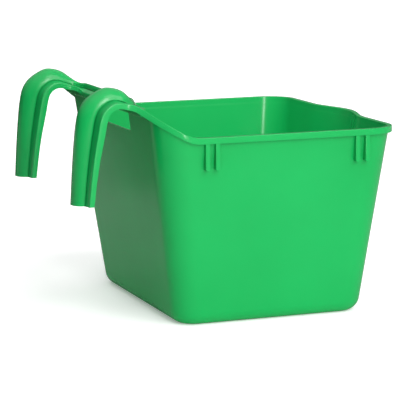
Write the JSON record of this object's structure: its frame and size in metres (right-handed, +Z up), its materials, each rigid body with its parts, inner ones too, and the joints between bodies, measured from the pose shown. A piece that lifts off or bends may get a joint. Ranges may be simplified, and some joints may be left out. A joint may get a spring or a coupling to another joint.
{
  "type": "hook-over feed bucket",
  "caption": "Rectangular tapered moulded feed tub with rolled rim, stacking ribs, hand slot and channel hooks that hang it over a rail or stable door.",
  "frame": {"origin": "on the floor under the middle of the tub, at the underside of its base", "axes": "+Z up out of the tub's mouth, -X towards the hooks, Y along the hook wall; the part is mirror symmetric about y = 0"},
  "size_m": [0.4145, 0.3746, 0.2871],
  "materials": {
    "moulded_plastic": "glossy injection-moulded polypropylene, green all through"
  },
  "bodies": {
    "root": {"corner_front_grip_side": "moulded_plastic", "corner_front_hook_side": "moulded_plastic", "corner_rear_grip_side": "moulded_plastic", "corner_rear_hook_side": "moulded_plastic", "hook_arch_front": "moulded_plastic", "hook_arch_rear": "moulded_plastic", "hook_leg_front": "moulded_plastic", "hook_leg_rear": "moulded_plastic", "lip_sweep_front": "moulded_plastic", "lip_sweep_rear": "moulded_plastic", "rail_lip": "moulded_plastic", "rim_corner_front": "moulded_plastic", "rim_corner_rear": "moulded_plastic", "rim_front": "moulded_plastic", "rim_grip_side": "moulded_plastic", "rim_rear": "moulded_plastic", "stacking_ribs_front_grip_side": "moulded_plastic", "stacking_ribs_front_hook_side": "moulded_plastic", "stacking_ribs_rear_grip_side": "moulded_plastic", "stacking_ribs_rear_hook_side": "moulded_plastic", "tub_floor": "moulded_plastic", "wall_front": "moulded_plastic", "wall_grip_side": "moulded_plastic", "wall_hook_side": "moulded_plastic", "wall_rear": "moulded_plastic"}
  },
  "joints": []
}
